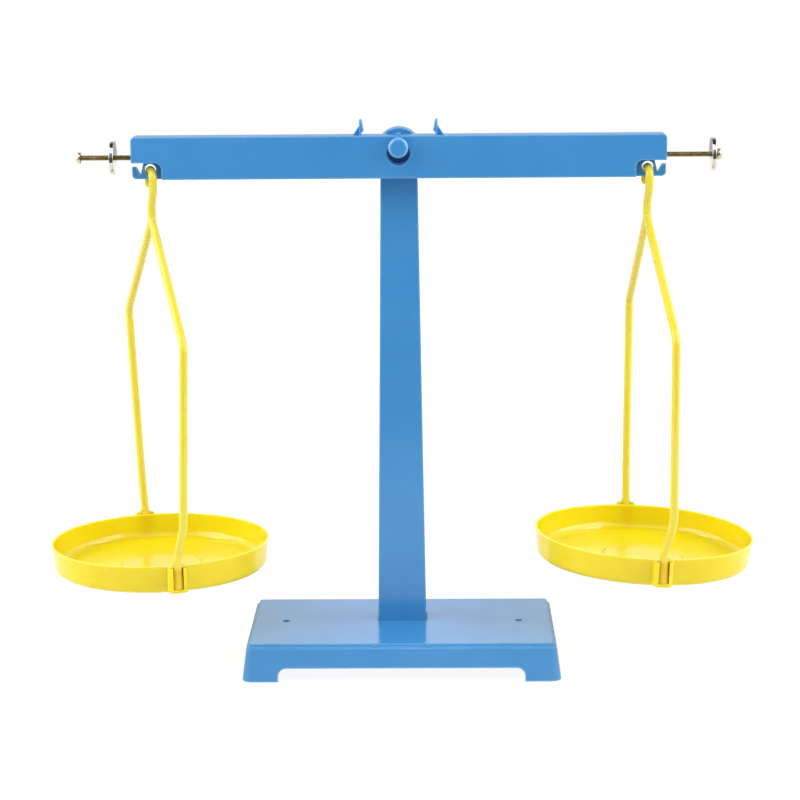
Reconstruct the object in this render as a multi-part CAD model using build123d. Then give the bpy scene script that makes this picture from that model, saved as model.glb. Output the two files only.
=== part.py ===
"""Pan balance: a blue base, post and beam, two yellow pans on bent hangers, and a screw with a
balance nut at each end of the beam.

Millimetres, +Z up, +X to the right, and the front faces -Y. The origin is on the table, under the
middle of the beam, and the plane y = 0 is the middle plane of the beam and of both pans.
"""
import os
from math import atan, cos, degrees, radians, sin, sqrt

from build123d import *

# Clearances and cuts
PRESS_GAP = 0.02  # round a piece that is pressed or screwed in
RUNNING_GAP = 0.06  # between a balance nut and its screw
SEAT_GAP = 0.1  # between the beam's large hole and the pin it rests on
OVERRUN = 5.0  # how far a cut runs past the material

# Base, sizes at the table unless said otherwise
BASE_LENGTH = 230.4
BASE_DEPTH = 129.8
BASE_HEIGHT = 27.0
BASE_DRAFT = 3.6  # how far each side leans in over the height
BASE_CORNER = 8.0
BASE_WALL = 2.4
BASE_TOP = 2.6
BASE_SETBACK = 11.0  # the base's middle lies this far behind the beam's
LEDGE_INSET = 1.8  # step round the top
LEDGE_HEIGHT = 2.6
LEDGE_ROUND = 1.0
TOP_ROUND = 0.9
FOOT_LENGTH = 26.2
FOOT_DEPTH = 26.0
FOOT_HEIGHT = 9.8
FOOT_ROUND = 6.0
FIXING_HOLE = 5.4
FIXING_SPACING = 172.8
RIB = 2.0
RIB_DEPTH = 14.0

# Post
POST_WIDTH = 35.6  # at the top of the base
POST_DEPTH = 22.0
HEAD_WIDTH = 26.0  # where the sides meet the crowned top
HEAD_RISE = 12.0  # the crowned top, above the pin
CROWN_RADIUS = 15.8
HEAD_DEPTH = 14.0
POST_WALL = 2.5
POST_PLUG = 18.0  # how far it stands down inside the base
PLUG_GAP = 0.3
SLEEVE_WALL = 2.2
SLEEVE_LIP = 2.4
PIN_BOSS_WALL = 2.6
POST_ROUND = 0.8

# Pivot pin
PIVOT_HEIGHT = 380.4
PIN_DIAMETER = 6.0
KNOB_DIAMETER = 14.0
KNOB_LENGTH = 10.0
KNOB_BEVEL = 1.4
KNOB_GAP = 1.2  # from the beam's front face
POST_GAP = 1.35  # from the beam's back face

# Beam
BEAM_LENGTH = 380.0
BEAM_HEIGHT = 30.4
BEAM_THICKNESS = 18.0
BEAM_WALL = 2.0
BEAM_ROOF = 2.2
BEAM_CORNER = 2.8
BEAM_EDGE = 0.8
HOLE_EDGE = 0.8
PIVOT_HOLE = 16.4
PIVOT_HOLE_HEIGHT = 17.5  # its middle, above the beam's underside
CUTAWAY_LENGTH = 21.6
CUTAWAY_HEIGHT = 11.9
CUTAWAY_ROUND = 4.6
WEB = 3.0
WEB_LENGTH = 32.0
WEB_CORNER = 3.0
HANG_INSET = 13.0  # hanging hole, from the beam's end
HANG_HEIGHT = 6.6
HANG_HOLE = 8.2
NOTCH_TIP = 2.9  # the notch's points, as (from the end, above the underside)
NOTCH_TIP_HEIGHT = 8.75
NOTCH_FLOOR = 6.0
NOTCH_FLOOR_HEIGHT = 3.35
NOTCH_BACK = 8.2
NUB_WIDTH = 3.0
NUB_HEIGHT = 1.8
CATCH_SPACING = 54.0
CATCH_HEIGHT = 11.0
CATCH_DEPTH = 9.0
CATCH_BLADE = 1.5
CATCH_BARB = 1.6
CATCH_BARB_HEIGHT = 3.0
CATCH_UNDERCUT = 1.8
CATCH_GUSSET = 4.6
CATCH_GUSSET_HEIGHT = 6.7
CATCH_GUSSET_THICKNESS = 2.4

# Balance screws, inserts and nuts
SCREW_DIAMETER = 4.0
SCREW_STANDOUT = 36.6  # from the beam's end to the head
SCREW_BURIED = 13.0
SCREW_HEAD = 8.0
SCREW_HEAD_LENGTH = 3.1
HEAD_DOME = 1.2
DRIVE_SPAN = 4.4
DRIVE_WIDTH = 0.9
DRIVE_DEPTH = 1.7
INSERT_DIAMETER = 5.6
INSERT_LENGTH = 9.0
BOSS_WALL = 1.2
NUT_DIAMETER = 24.2
NUT_LENGTH = 3.0
NUT_BEVEL = 0.4
LEFT_NUT_OFFSET = 13.6  # middle of the nut, from the beam's end
RIGHT_NUT_OFFSET = 33.3

# Hangers
ROD = 6.0
HOOK_INNER = 3.5
HOOK_GAP = 0.5  # between the hook and the web it hangs on
HOOK_TAIL = 3.6
SHANK_DROP = 8.0
SHANK_SLANT = 11.0
SHANK_ROUND = 7.0
SHANK_LENGTH = 29.4  # from the middle of the hook's bend to the fork
FORK_LAP = 5.0
ARM_LENGTH = 118.2  # from the fork out to a corner
LEG_LENGTH = 153.0  # from a corner down to the straight end
CORNER_ROUND = 12.0
KNEE_RADIUS = 84.4  # from the hanger's middle
KNEE_ABOVE_RIM = 28.0
KNEE_ROUND = 30.0
FOOT_TOP = 5.0  # straight end above the pan's rim
FOOT_NECK = 0.4  # how much wider than the rod the foot is at its top, each side
FOOT_FLARE = 1.2  # and at its end
COLLAR_WIDTH = 12.8  # the foot's wings, which stop it on top of the socket
COLLAR_THICKNESS = 4.2
COLLAR_EDGE = 0.5
COLLAR_RISE = 2.6

# How each hanger is flexed as it hangs: radius and shift in mm, angles in degrees. Both hangers
# are one moulding: arms that spread further lift the pan, because their length stays the same.
# A tilt lowers a pan's right side, and a pitch lowers its front
FRONT_KNEE_ANGLE = 3.5
BACK_KNEE_ANGLE = 0.8
LEFT_HOOK_ANGLE = 19.0
LEFT_CORNER_RADIUS = 89.4
LEFT_CORNER_SHIFT = 0.0
LEFT_CORNER_ANGLE = 19.1
LEFT_PAN_ANGLE = 14.4
LEFT_PAN_TILT_ANGLE = -0.6
LEFT_PAN_PITCH_ANGLE = 0.0
RIGHT_HOOK_ANGLE = 8.5
RIGHT_CORNER_RADIUS = 93.0
RIGHT_CORNER_SHIFT = 4.3
RIGHT_CORNER_ANGLE = 5.3
RIGHT_PAN_ANGLE = 4.7
RIGHT_PAN_TILT_ANGLE = 2.9
RIGHT_PAN_PITCH_ANGLE = 0.7

# Pans
PAN_RADIUS = 79.5
PAN_DEPTH = 20.4
PAN_DRAFT = 2.4
PAN_WALL = 1.8
PAN_ROUND = 5.0  # outside, between wall and floor
PAN_INNER_ROUND = 7.0
RIM_ROUND = 0.6
PAD_RADIUS = 30.0
PAD_HEIGHT = 1.0
PAD_SLOPE = 2.0
SOCKET_WIDTH = 14.2
SOCKET_REACH = 8.6  # from the wall's outside at the rim
SOCKET_HEIGHT = 18.0
SOCKET_LIP = 2.6
SOCKET_SLOT = 7.4
SOCKET_GAP = 0.15
SOCKET_CORNER = 4.6  # its two outer corners, seen from above
SOCKET_ROUND = 1.0

# Places that follow from the sizes above
beam_half = BEAM_LENGTH / 2
hole_radius = PIVOT_HOLE / 2
pin_radius = PIN_DIAMETER / 2
hole_height = PIVOT_HEIGHT - (hole_radius - pin_radius - SEAT_GAP)
beam_bottom = hole_height - PIVOT_HOLE_HEIGHT
beam_top = beam_bottom + BEAM_HEIGHT
beam_front = -BEAM_THICKNESS / 2
screw_height = beam_bottom + BEAM_HEIGHT / 2
hang_x = beam_half - HANG_INSET
hang_height = beam_bottom + HANG_HEIGHT
post_front = BEAM_THICKNESS / 2 + POST_GAP
post_middle = post_front + POST_DEPTH / 2
head_top = PIVOT_HEIGHT + HEAD_RISE
plug_bottom = BASE_HEIGHT - POST_PLUG
boss_radius = INSERT_DIAMETER / 2 + BOSS_WALL
foot_radius = PAN_RADIUS + ROD / 2 + PAN_WALL / 2


RIGHTWARD = (1, 0, 0)
LEFTWARD = (-1, 0, 0)
FORWARD = (0, -1, 0)
BACKWARD = (0, 1, 0)


def block(x0, x1, y0, y1, z0, z1):
    """A box between two corners."""
    return Pos((x0 + x1) / 2, (y0 + y1) / 2, (z0 + z1) / 2) * Box(x1 - x0, y1 - y0, z1 - z0)


def round_bar(start, direction, radius, length):
    """A cylinder from its start point along a direction."""
    return extrude(Plane(start, z_dir=direction) * Circle(radius), length)


def upright(outline, y0, y1):
    """A front-view outline, its own Y as height, given thickness from y0 back to y1."""
    return extrude(Plane.XZ.offset(-y0) * outline, -(y1 - y0))


def polygon(*points):
    """A flat face through the points, not moved to its own middle."""
    return make_face(Polyline(*points, close=True))


def drafted_slab(length, depth, corner, height, draft):
    """A rounded rectangle on z = 0 that leans in by the draft over the height."""
    taper = degrees(atan(draft / height))
    return extrude(RectangleRounded(length, depth, corner), height, taper=taper)


def skirt_window(width, height, corner, reach):
    """The gap between two feet: a slot open below with rounded upper corners, seen from the front."""
    opening = Pos(0, height / 2 - corner) * Rectangle(width, height + 2 * corner)
    opening = fillet(opening.vertices().group_by(Axis.Y)[-1], corner)
    return upright(opening, -reach, reach)


def make_base():
    lean = BASE_DRAFT / BASE_HEIGHT
    shell = drafted_slab(BASE_LENGTH, BASE_DEPTH, BASE_CORNER, BASE_HEIGHT, BASE_DRAFT)
    ledge_bottom = BASE_HEIGHT - LEDGE_HEIGHT
    keep = drafted_slab(
        BASE_LENGTH - 2 * LEDGE_INSET,
        BASE_DEPTH - 2 * LEDGE_INSET,
        BASE_CORNER - LEDGE_INSET,
        BASE_HEIGHT,
        BASE_DRAFT,
    )
    above = block(-BASE_LENGTH, BASE_LENGTH, -BASE_DEPTH, BASE_DEPTH, ledge_bottom, BASE_HEIGHT + OVERRUN)
    shell = fillet((shell - above).edges().group_by(Axis.Z)[-1], LEDGE_ROUND) + (keep & above)
    top_edges = shell.faces().sort_by(Axis.Z)[-1].edges()
    shell = fillet(top_edges, TOP_ROUND)
    hollow_height = BASE_HEIGHT - BASE_TOP
    hollow = drafted_slab(
        BASE_LENGTH - 2 * BASE_WALL,
        BASE_DEPTH - 2 * BASE_WALL,
        BASE_CORNER - BASE_WALL,
        hollow_height,
        lean * hollow_height,
    )
    shell -= hollow
    front_gap = skirt_window(BASE_LENGTH - 2 * FOOT_LENGTH, FOOT_HEIGHT, FOOT_ROUND, BASE_DEPTH)
    side_gap = skirt_window(BASE_DEPTH - 2 * FOOT_DEPTH, FOOT_HEIGHT, FOOT_ROUND, BASE_LENGTH)
    shell = shell - front_gap - Rot(0, 0, 90) * side_gap
    shell = Pos(0, BASE_SETBACK, 0) * shell

    # The sleeve that the post stands in, with a lip under the post and a rib to each side
    inner_x = POST_WIDTH / 2 + PLUG_GAP
    inner_front = post_front - PLUG_GAP
    inner_back = post_front + POST_DEPTH + PLUG_GAP
    sleeve_bottom = plug_bottom - SLEEVE_LIP
    sleeve = block(
        -inner_x - SLEEVE_WALL,
        inner_x + SLEEVE_WALL,
        inner_front - SLEEVE_WALL,
        inner_back + SLEEVE_WALL,
        sleeve_bottom,
        hollow_height + BASE_TOP / 2,
    )
    skirt_x = BASE_LENGTH / 2 - BASE_DRAFT - BASE_WALL / 2
    skirt_y = BASE_DEPTH / 2 - BASE_DRAFT - BASE_WALL / 2
    rib_bottom = hollow_height - RIB_DEPTH
    rib_top = hollow_height + BASE_TOP / 2
    ribs = block(-skirt_x, skirt_x, post_middle - RIB / 2, post_middle + RIB / 2, rib_bottom, rib_top)
    for side in (-1, 1):
        rib_x = side * (inner_x + SLEEVE_WALL / 2)
        ribs += block(
            rib_x - RIB / 2,
            rib_x + RIB / 2,
            BASE_SETBACK - skirt_y,
            BASE_SETBACK + skirt_y,
            rib_bottom,
            rib_top,
        )
    shell = shell + sleeve + ribs
    shell -= block(-inner_x, inner_x, inner_front, inner_back, plug_bottom, BASE_HEIGHT + OVERRUN)
    window_x = POST_WIDTH / 2 - POST_WALL
    shell -= block(
        -window_x,
        window_x,
        post_front + POST_WALL,
        post_front + POST_DEPTH - POST_WALL,
        -OVERRUN,
        plug_bottom + OVERRUN,
    )
    for side in (-1, 1):
        at = Pos(side * FIXING_SPACING / 2, BASE_SETBACK, hollow_height - OVERRUN)
        shell -= at * extrude(Circle(FIXING_HOLE / 2), BASE_TOP + 2 * OVERRUN)
    return shell


def post_outline(inset, bottom):
    """Front view of the post, drawn in by the inset: tapered sides under a crowned top."""
    foot = POST_WIDTH / 2 - inset
    shoulder = HEAD_WIDTH / 2 - inset
    crown = CROWN_RADIUS - inset
    crown_middle = head_top - CROWN_RADIUS
    shoulder_z = crown_middle + sqrt(crown**2 - shoulder**2)
    right = Polyline((foot, bottom), (foot, BASE_HEIGHT), (shoulder, shoulder_z))
    top = ThreePointArc((shoulder, shoulder_z), (0, crown_middle + crown), (-shoulder, shoulder_z))
    left = Polyline((-shoulder, shoulder_z), (-foot, BASE_HEIGHT), (-foot, bottom))
    floor = Line((-foot, bottom), (foot, bottom))
    return make_face([*right.edges(), top, *left.edges(), floor])


def post_solid(inset, bottom):
    """The post's outer form drawn in by the inset: straight front, leaning back."""
    front = post_front + inset
    deep_back = post_front + POST_DEPTH - inset
    head_back = post_front + HEAD_DEPTH - inset
    body = upright(post_outline(inset, bottom), front, deep_back)
    side = polygon(
        (front - OVERRUN, bottom - OVERRUN),
        (deep_back, bottom - OVERRUN),
        (deep_back, BASE_HEIGHT),
        (head_back, PIVOT_HEIGHT - HEAD_WIDTH / 2),
        (head_back, head_top + OVERRUN),
        (front - OVERRUN, head_top + OVERRUN),
    )
    reach = POST_WIDTH
    return body & extrude(Plane.YZ.offset(-reach) * side, 2 * reach)


def make_post():
    shell = post_solid(0, plug_bottom)
    outline = shell.faces().sort_by(Axis.Y)[0].edges()
    shell = fillet([edge for edge in outline if edge.center().Z > BASE_HEIGHT + POST_ROUND], POST_ROUND)
    shell -= post_solid(POST_WALL, plug_bottom - OVERRUN)
    boss_start = (0, post_front + POST_WALL / 2, PIVOT_HEIGHT)
    shell += round_bar(boss_start, BACKWARD, pin_radius + PIN_BOSS_WALL, HEAD_DEPTH - POST_WALL)
    bore_start = (0, post_front - OVERRUN, PIVOT_HEIGHT)
    return shell - round_bar(bore_start, BACKWARD, pin_radius + PRESS_GAP, HEAD_DEPTH + 2 * OVERRUN)


def make_pin():
    knob_back = beam_front - KNOB_GAP
    shaft_back = post_front + HEAD_DEPTH
    shaft = round_bar((0, shaft_back, PIVOT_HEIGHT), FORWARD, pin_radius, shaft_back - knob_back)
    knob = round_bar((0, knob_back, PIVOT_HEIGHT), FORWARD, KNOB_DIAMETER / 2, KNOB_LENGTH)
    return shaft + chamfer(knob.edges().sort_by(Axis.Y)[0], KNOB_BEVEL)


def end_web():
    """The thin web at the right end of the beam, with the hanging hole and the notch."""
    inner = beam_half - WEB_LENGTH
    under = beam_bottom
    top = screw_height
    outline = polygon(
        (inner, under),
        (beam_half, under),
        (beam_half, under + NOTCH_TIP_HEIGHT),
        (beam_half - NOTCH_TIP, under + NOTCH_TIP_HEIGHT),
        (beam_half - NOTCH_FLOOR, under + NOTCH_FLOOR_HEIGHT),
        (beam_half - NOTCH_BACK, under + CUTAWAY_HEIGHT),
        (beam_half - NOTCH_BACK, top),
        (inner, top),
    )
    corner = outline.vertices().sort_by_distance((beam_half, under, 0))[0]
    outline = fillet(corner, WEB_CORNER)
    outline -= Pos(hang_x, hang_height) * Circle(HANG_HOLE / 2)
    return upright(outline, -WEB / 2, WEB / 2)


def snap_catch():
    """The right-hand catch on top: a blade with an inward barb and a thinner outward gusset."""
    x = CATCH_SPACING / 2
    z = beam_top
    blade = polygon(
        (x + CATCH_BLADE / 2, z - BEAM_ROOF / 2),
        (x + CATCH_BLADE / 2, z + CATCH_HEIGHT),
        (x - CATCH_BLADE / 2, z + CATCH_HEIGHT),
        (x - CATCH_BLADE / 2 - CATCH_BARB, z + CATCH_BARB_HEIGHT),
        (x - CATCH_BLADE / 2, z + CATCH_UNDERCUT),
        (x - CATCH_BLADE / 2, z - BEAM_ROOF / 2),
    )
    gusset = polygon(
        (x, z - BEAM_ROOF / 2),
        (x + CATCH_BLADE / 2 + CATCH_GUSSET, z - BEAM_ROOF / 2),
        (x + CATCH_BLADE / 2 + CATCH_GUSSET, z),
        (x + CATCH_BLADE / 2, z + CATCH_GUSSET_HEIGHT),
        (x, z + CATCH_GUSSET_HEIGHT),
    )
    half_gusset = CATCH_GUSSET_THICKNESS / 2
    return upright(blade, -CATCH_DEPTH / 2, CATCH_DEPTH / 2) + upright(gusset, -half_gusset, half_gusset)


def on_side(solid, side):
    """A piece made for the right end of the beam, put at the right (1) or left (-1) end."""
    return solid if side > 0 else mirror(solid, about=Plane.YZ)


def beam_outline():
    """Front view of the beam, with its rounded top corners and the cut-away lower corners."""
    view = Pos(0, beam_bottom + BEAM_HEIGHT / 2) * Rectangle(BEAM_LENGTH, BEAM_HEIGHT)
    view = fillet(view.vertices().group_by(Axis.Y)[-1], BEAM_CORNER)
    reach = CUTAWAY_LENGTH + OVERRUN
    drop = CUTAWAY_HEIGHT + OVERRUN
    cut = Pos(beam_half + OVERRUN - reach / 2, beam_bottom - OVERRUN + drop / 2) * Rectangle(reach, drop)
    cut = fillet(cut.vertices().group_by(Axis.X)[0].sort_by(Axis.Y)[-1], CUTAWAY_ROUND)
    return view - cut - mirror(cut, about=Plane.YZ)


def make_beam():
    body = upright(beam_outline(), beam_front, -beam_front)
    faces = body.faces().sort_by(Axis.Y)
    body = fillet([*faces[0].edges(), *faces[-1].edges()], BEAM_EDGE)
    body -= block(
        -beam_half + BEAM_WALL,
        beam_half - BEAM_WALL,
        beam_front + BEAM_WALL,
        -beam_front - BEAM_WALL,
        beam_bottom - OVERRUN,
        beam_top - BEAM_ROOF,
    )
    through = 2 * BEAM_THICKNESS
    body -= round_bar((0, -through / 2, hole_height), BACKWARD, hole_radius, through)
    hole_edges = body.edges().filter_by(GeomType.CIRCLE).filter_by(lambda edge: edge.radius == hole_radius)
    body = fillet([*hole_edges.group_by(Axis.Y)[0], *hole_edges.group_by(Axis.Y)[-1]], HOLE_EDGE)
    for side in (-1, 1):
        boss_length = SCREW_BURIED + BOSS_WALL
        boss = round_bar((beam_half - boss_length, 0, screw_height), RIGHTWARD, boss_radius, boss_length)
        rib = block(
            beam_half - WEB_LENGTH,
            beam_half - WEB_LENGTH + BEAM_WALL,
            beam_front + BEAM_WALL / 2,
            -beam_front - BEAM_WALL / 2,
            beam_bottom + BEAM_WALL,
            beam_top - BEAM_ROOF / 2,
        )
        upper_web = block(
            beam_half - WEB_LENGTH,
            beam_half - BEAM_WALL / 2,
            -WEB / 2,
            WEB / 2,
            screw_height - SCREW_DIAMETER / 2,
            beam_top - BEAM_ROOF / 2,
        )
        bore_start = (beam_half + OVERRUN, 0, screw_height)
        bore_length = SCREW_BURIED + OVERRUN + PRESS_GAP
        bore = round_bar(bore_start, LEFTWARD, SCREW_DIAMETER / 2 + PRESS_GAP, bore_length)
        pocket_start = (beam_half - BEAM_WALL, 0, screw_height)
        pocket_length = INSERT_LENGTH + PRESS_GAP
        pocket = round_bar(pocket_start, LEFTWARD, INSERT_DIAMETER / 2 + PRESS_GAP, pocket_length)
        body += on_side(end_web() + boss + rib + upper_web + snap_catch(), side)
        body -= on_side(bore + pocket, side)
    nub = block(
        -NUB_WIDTH / 2,
        NUB_WIDTH / 2,
        beam_front + BEAM_EDGE,
        beam_front + BEAM_EDGE + NUB_WIDTH,
        beam_top - BEAM_ROOF / 2,
        beam_top + NUB_HEIGHT,
    )
    return body + nub


def make_screw(side):
    """A pan-head screw that points inwards; its head is outside, with a cross drive."""
    tip = beam_half - SCREW_BURIED
    under_head = beam_half + SCREW_STANDOUT
    outer = under_head + SCREW_HEAD_LENGTH
    shank = round_bar((tip, 0, screw_height), RIGHTWARD, SCREW_DIAMETER / 2, under_head - tip)
    head = round_bar((under_head, 0, screw_height), RIGHTWARD, SCREW_HEAD / 2, SCREW_HEAD_LENGTH)
    head = fillet(head.edges().sort_by(Axis.X)[-1], HEAD_DOME)
    for span, width in ((DRIVE_SPAN, DRIVE_WIDTH), (DRIVE_WIDTH, DRIVE_SPAN)):
        head -= block(
            outer - DRIVE_DEPTH,
            outer + OVERRUN,
            -span / 2,
            span / 2,
            screw_height - width / 2,
            screw_height + width / 2,
        )
    return on_side(shank + head, side)


def make_insert(side):
    inner_end = (beam_half - BEAM_WALL - INSERT_LENGTH, 0, screw_height)
    sleeve = round_bar(inner_end, RIGHTWARD, INSERT_DIAMETER / 2, INSERT_LENGTH)
    sleeve -= round_bar(inner_end, RIGHTWARD, SCREW_DIAMETER / 2 + PRESS_GAP, INSERT_LENGTH)
    return on_side(sleeve, side)


def make_nut(side, offset):
    inner_face = (beam_half + offset - NUT_LENGTH / 2, 0, screw_height)
    disc = round_bar(inner_face, RIGHTWARD, NUT_DIAMETER / 2, NUT_LENGTH)
    disc = chamfer(disc.edges(), NUT_BEVEL)
    disc -= round_bar(inner_face, RIGHTWARD, SCREW_DIAMETER / 2 + RUNNING_GAP, NUT_LENGTH)
    return on_side(disc, side)


def turned(radius, twist, height):
    """A point at a radius from the hanger's middle; twist 0 is straight to the front."""
    angle = radians(twist)
    return Vector(radius * sin(angle), -radius * cos(angle), height)


def hook_middle(twist):
    """Height of the middle of the hook's bend, with the rod seated over the web."""
    half_web = WEB / 2 / cos(radians(twist))
    sag = HOOK_INNER - sqrt(HOOK_INNER**2 - half_web**2)
    rod_height = hang_height - HANG_HOLE / 2 + HOOK_GAP + sag + ROD / 2
    return rod_height - HOOK_INNER - ROD / 2


def corner_height(pose):
    """Height of a hanger's two corners: its arms keep their length as they spread."""
    fork = hook_middle(pose["hook_twist"]) - SHANK_LENGTH
    return fork - sqrt(ARM_LENGTH**2 - pose["corner_radius"] ** 2)


def rim_height(pose):
    """Height of the pan's rim, at the end of the legs."""
    drop = sqrt(LEG_LENGTH**2 - (pose["corner_radius"] - foot_radius) ** 2)
    return corner_height(pose) - drop - FOOT_TOP


def pan_place(pose):
    """The pan's own frame: its rim on z = 0, and its Y axis along the line of the two feet."""
    middle = SOCKET_HEIGHT / 2
    seat = Pos(0, 0, rim_height(pose) - middle)
    return seat * Rot(0, 0, pose["pan_twist"]) * Rot(pose["pitch"], pose["tilt"], 0) * Pos(0, 0, middle)


def sweep_rod(path):
    """A round rod along a path."""
    return sweep(Plane(path @ 0, z_dir=path % 0) * Circle(ROD / 2), path)


def foot_cone(gap):
    """A leg's flared end, on the pan's own frame; the gap makes it the socket's channel."""
    height = SOCKET_HEIGHT - SOCKET_LIP - SOCKET_GAP + gap
    cone = Cone(ROD / 2 + FOOT_FLARE + gap, ROD / 2 + FOOT_NECK + gap, height)
    return Pos(0, 0, -height / 2) * cone


def foot_collar():
    """The foot's two wings, which sweep out of the rod and stop just clear of the socket's top."""
    outer = COLLAR_WIDTH / 2
    neck = ROD / 2
    lip = SOCKET_GAP + COLLAR_EDGE
    top = lip + COLLAR_RISE
    half_way = sin(radians(45))
    knee = (outer - (outer - neck) * half_way, lip + COLLAR_RISE * (1 - half_way))
    right = Spline((outer, lip), knee, (neck, top), tangents=((-1, 0), (0, 1)))
    left = mirror(right, about=Plane.YZ)
    under = Polyline((outer, lip), (outer, SOCKET_GAP), (-outer, SOCKET_GAP), (-outer, lip))
    wings = make_face([right, left, *under.edges(), Line((neck, top), (-neck, top))])
    return upright(wings, -COLLAR_THICKNESS / 2, COLLAR_THICKNESS / 2)


def make_hanger(pose):
    """One bent rod: a hook, a shank and two legs, each with a flared foot."""
    twist = pose["hook_twist"]
    bend = HOOK_INNER + ROD / 2
    middle = hook_middle(twist)
    low = middle - SHANK_DROP
    fork = middle - SHANK_LENGTH
    tail = turned(-bend, twist, middle - HOOK_TAIL)
    back = turned(-bend, twist, middle)
    front = turned(bend, twist, middle)
    hook = Line(tail, back) + ThreePointArc(back, turned(0, twist, middle + bend), front)
    shank = FilletPolyline(
        front,
        turned(bend, twist, low),
        turned(0, twist, low - SHANK_SLANT),
        turned(0, twist, fork),
        radius=SHANK_ROUND,
    )
    rod = sweep_rod(Wire(hook.edges() + shank.edges()))
    rod += Pos(*tail) * Sphere(ROD / 2)
    place = pan_place(pose)
    shift = Vector(pose["corner_shift"], 0, 0)
    for face, knee_twist in ((1, FRONT_KNEE_ANGLE), (-1, BACK_KNEE_ANGLE)):
        knee = turned(face * KNEE_RADIUS, knee_twist, KNEE_ABOVE_RIM)
        foot_place = place * Pos(0, -face * foot_radius, 0)
        leg = FilletPolyline(
            Vector(0, 0, fork + FORK_LAP),
            Vector(0, 0, fork),
            turned(face * pose["corner_radius"], pose["corner_twist"], corner_height(pose)) + shift,
            (place * Pos(*knee)).position,
            (foot_place * Pos(0, 0, FOOT_TOP)).position,
            foot_place.position,
            radius=[FORK_LAP, CORNER_ROUND, KNEE_ROUND, FOOT_TOP],
        )
        rod += sweep_rod(leg)
        rod += foot_place * (foot_cone(0) + foot_collar())
    return rod


def pan_profile(inset):
    """Half section of the dish's outer form drawn in by the inset; the rim is on height 0."""
    floor = -PAN_DEPTH + inset
    return polygon(
        (0, floor),
        (PAN_RADIUS - PAN_DRAFT - inset, floor),
        (PAN_RADIUS - inset, 0),
        (0, 0),
    )


def spun(face):
    """A half section, its own Y as height, turned round the vertical."""
    return revolve(Plane.XZ * face, Axis.Z)


def pan_socket():
    """The front socket on the wall: a block with the foot's channel, open at the top and outside."""
    reach = PAN_RADIUS + SOCKET_REACH
    wall = PAN_RADIUS - PAN_DRAFT - PAN_WALL / 2
    body = block(-SOCKET_WIDTH / 2, SOCKET_WIDTH / 2, -reach, -wall, -SOCKET_HEIGHT, 0)
    body = fillet(body.edges().filter_by(Axis.Z).group_by(Axis.Y)[0], SOCKET_CORNER)
    under = body.faces().sort_by(Axis.Z)[0].edges()
    body = fillet([edge for edge in under if edge.center().Y < -wall], SOCKET_ROUND)
    body -= Pos(0, -foot_radius, 0) * foot_cone(SOCKET_GAP)
    channel_floor = SOCKET_LIP - SOCKET_HEIGHT
    return body - block(
        -SOCKET_SLOT / 2,
        SOCKET_SLOT / 2,
        -reach - OVERRUN,
        -foot_radius,
        channel_floor,
        OVERRUN,
    )


def make_pan(pose):
    dish = spun(pan_profile(0))
    dish = fillet(dish.faces().sort_by(Axis.Z)[0].edges(), PAN_ROUND)
    hollow = spun(pan_profile(PAN_WALL))
    hollow = fillet(hollow.faces().sort_by(Axis.Z)[0].edges(), PAN_INNER_ROUND)
    socket = pan_socket()
    dish = dish + socket + Rot(0, 0, 180) * socket - hollow
    pad_bottom = PAN_WALL - PAN_DEPTH
    pad = Pos(0, 0, pad_bottom + PAD_HEIGHT / 2) * Cone(PAD_RADIUS, PAD_RADIUS - PAD_SLOPE, PAD_HEIGHT)
    dish += pad
    rim = [
        edge
        for edge in dish.edges().filter_by(GeomType.CIRCLE)
        if abs(edge.radius - PAN_RADIUS + PAN_WALL) < RIM_ROUND and abs(edge.center().Z) < RIM_ROUND
    ]
    return pan_place(pose) * fillet(rim, RIM_ROUND)


def make_parts():
    left = Pos(-hang_x, 0, 0)
    right = Pos(hang_x, 0, 0)
    left_pose = {
        "hook_twist": LEFT_HOOK_ANGLE,
        "corner_radius": LEFT_CORNER_RADIUS,
        "corner_shift": LEFT_CORNER_SHIFT,
        "corner_twist": LEFT_CORNER_ANGLE,
        "pan_twist": LEFT_PAN_ANGLE,
        "tilt": LEFT_PAN_TILT_ANGLE,
        "pitch": LEFT_PAN_PITCH_ANGLE,
    }
    right_pose = {
        "hook_twist": RIGHT_HOOK_ANGLE,
        "corner_radius": RIGHT_CORNER_RADIUS,
        "corner_shift": RIGHT_CORNER_SHIFT,
        "corner_twist": RIGHT_CORNER_ANGLE,
        "pan_twist": RIGHT_PAN_ANGLE,
        "tilt": RIGHT_PAN_TILT_ANGLE,
        "pitch": RIGHT_PAN_PITCH_ANGLE,
    }
    return {
        "base": make_base(),
        "post": make_post(),
        "pivot_pin": make_pin(),
        "beam": make_beam(),
        "left_balance_screw": make_screw(-1),
        "right_balance_screw": make_screw(1),
        "left_screw_insert": make_insert(-1),
        "right_screw_insert": make_insert(1),
        "left_balance_nut": make_nut(-1, LEFT_NUT_OFFSET),
        "right_balance_nut": make_nut(1, RIGHT_NUT_OFFSET),
        "left_hanger": left * make_hanger(left_pose),
        "right_hanger": right * make_hanger(right_pose),
        "left_pan": left * make_pan(left_pose),
        "right_pan": right * make_pan(right_pose),
    }


os.makedirs("parts", exist_ok=True)
for name, solid in make_parts().items():
    export_step(solid, f"parts/{name}.step")
    print(name, len(solid.solids()), round(solid.volume))
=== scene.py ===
# %% [markdown]
# # A moulded pan balance
# A blue stand carries a blue beam on a pin. A yellow hanger hooks into each end of the beam and
# holds a yellow pan, and a bright disc on a threaded screw trims each end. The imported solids
# already have the right shapes for all the mouldings, so they are loaded first and stay where
# they are. This lesson gives them real plastics and metals, adds the turned and threaded parts
# that plain solids only stand for, and lights the whole as a product is lit on a white table.

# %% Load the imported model
from math import pi, radians

import bmesh
import bpy
import numpy as np
from mathutils import Matrix, Vector


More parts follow.
